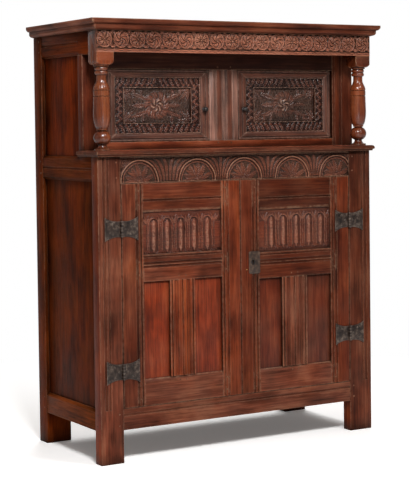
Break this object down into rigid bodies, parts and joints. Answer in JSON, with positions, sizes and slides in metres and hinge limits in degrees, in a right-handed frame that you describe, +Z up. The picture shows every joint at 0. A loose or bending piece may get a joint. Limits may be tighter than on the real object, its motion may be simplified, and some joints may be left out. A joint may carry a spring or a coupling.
{
  "type": "court cupboard",
  "caption": "Oak court cupboard: panelled doors on butterfly hinges below, a set-back upper cupboard with carved doors, and a carved canopy on turned baluster pillars.",
  "frame": {"origin": "on the floor under the middle of the whole cupboard", "axes": "+X to the viewer's right, +Y to the back, +Z up"},
  "size_m": [1.308, 0.585, 1.65],
  "materials": {
    "oak_front": "old waxed oak, red-brown, worn light on the edges",
    "oak_side": "old waxed oak, dark brown",
    "oak_panel": "polished oak, orange-red",
    "oak_pillar": "turned and polished oak, orange-red",
    "oak_inner": "dry unpolished oak",
    "iron": "hand-forged iron, waxed, dark brown-black"
  },
  "bodies": {
    "carcass": {"back_left_post": "oak_side", "back_lower_boards": "oak_inner", "back_rails": "oak_inner", "back_right_post": "oak_side", "back_upper_boards": "oak_inner", "canopy_frieze_rail": "oak_front", "floor_boards": "oak_inner", "front_base_rail": "oak_front", "front_cornice": "oak_front", "front_left_stile": "oak_front", "front_right_stile": "oak_front", "hinge_pins": "iron", "hinge_stile_leaves": "iron", "inner_shelf": "oak_inner", "left_base_rail": "oak_side", "left_cornice": "oak_side", "left_lower_panel": "oak_side", "left_mid_rail": "oak_side", "left_pillar": "oak_pillar", "left_top_rail": "oak_side", "left_upper_panel": "oak_side", "lower_frieze_rail": "oak_front", "right_base_rail": "oak_side", "right_cornice": "oak_side", "right_lower_panel": "oak_side", "right_mid_rail": "oak_side", "right_pillar": "oak_pillar", "right_top_rail": "oak_side", "right_upper_panel": "oak_side", "shelf_bearers": "oak_inner", "top_boards": "oak_inner", "upper_door_pintles": "iron", "upper_floor_boards": "oak_inner", "upper_head_rail": "oak_front", "upper_left_stile": "oak_front", "upper_muntin": "oak_front", "upper_right_stile": "oak_front", "upper_sill_rail": "oak_front", "waist_shelf": "oak_front"},
    "lower_left_door": {"lower_left_door_frame": "oak_front", "lower_left_carved_panel": "oak_front", "lower_left_plain_panels": "oak_panel", "left_hinge_door_leaves": "iron", "door_bolt_staples": "iron"},
    "left_door_bolt": {"door_bolt": "iron"},
    "lower_right_door": {"lower_right_door_frame": "oak_front", "lower_right_carved_panel": "oak_front", "lower_right_plain_panels": "oak_panel", "right_hinge_door_leaves": "iron", "lock_case": "iron", "escutcheon": "iron"},
    "lock_bolt": {"lock_bolt": "iron"},
    "upper_left_door": {"upper_left_door_frame": "oak_front", "upper_left_door_panel": "oak_front", "upper_left_door_border": "oak_front"},
    "left_turn_catch": {"left_turn_catch": "iron"},
    "upper_right_door": {"upper_right_door_frame": "oak_front", "upper_right_door_panel": "oak_front", "upper_right_door_border": "oak_front"},
    "right_turn_catch": {"right_turn_catch": "iron"}
  },
  "joints": [
    {"name": "lower_left_door_hinge", "type": "hinge", "parent": "carcass", "child": "lower_left_door", "pos_m": [-0.5265, -0.2588, 0.205], "axis": [0, 0, -1], "range_deg": [0, 165]},
    {"name": "lower_right_door_hinge", "type": "hinge", "parent": "carcass", "child": "lower_right_door", "pos_m": [0.5155, -0.2588, 0.205], "axis": [0, 0, 1], "range_deg": [0, 165]},
    {"name": "upper_left_door_hinge", "type": "hinge", "parent": "carcass", "child": "upper_left_door", "pos_m": [-0.508, -0.1205, 1.195], "axis": [0, 0, -1], "range_deg": [0, 95]},
    {"name": "upper_right_door_hinge", "type": "hinge", "parent": "carcass", "child": "upper_right_door", "pos_m": [0.508, -0.1205, 1.195], "axis": [0, 0, 1], "range_deg": [0, 95]},
    {"name": "left_turn_catch", "type": "hinge", "parent": "upper_left_door", "child": "left_turn_catch", "pos_m": [-0.092, -0.1325, 1.316], "axis": [0, -1, 0], "range_deg": [0, 90]},
    {"name": "right_turn_catch", "type": "hinge", "parent": "upper_right_door", "child": "right_turn_catch", "pos_m": [0.092, -0.1325, 1.316], "axis": [0, 1, 0], "range_deg": [0, 90]},
    {"name": "lock_bolt_slide", "type": "slide", "parent": "lower_right_door", "child": "lock_bolt", "axis": [-1, 0, 0], "range_m": [0, 0.014]},
    {"name": "left_door_bolt_slide", "type": "slide", "parent": "lower_left_door", "child": "left_door_bolt", "axis": [0, 0, 1], "range_m": [0, 0.018]}
  ]
}
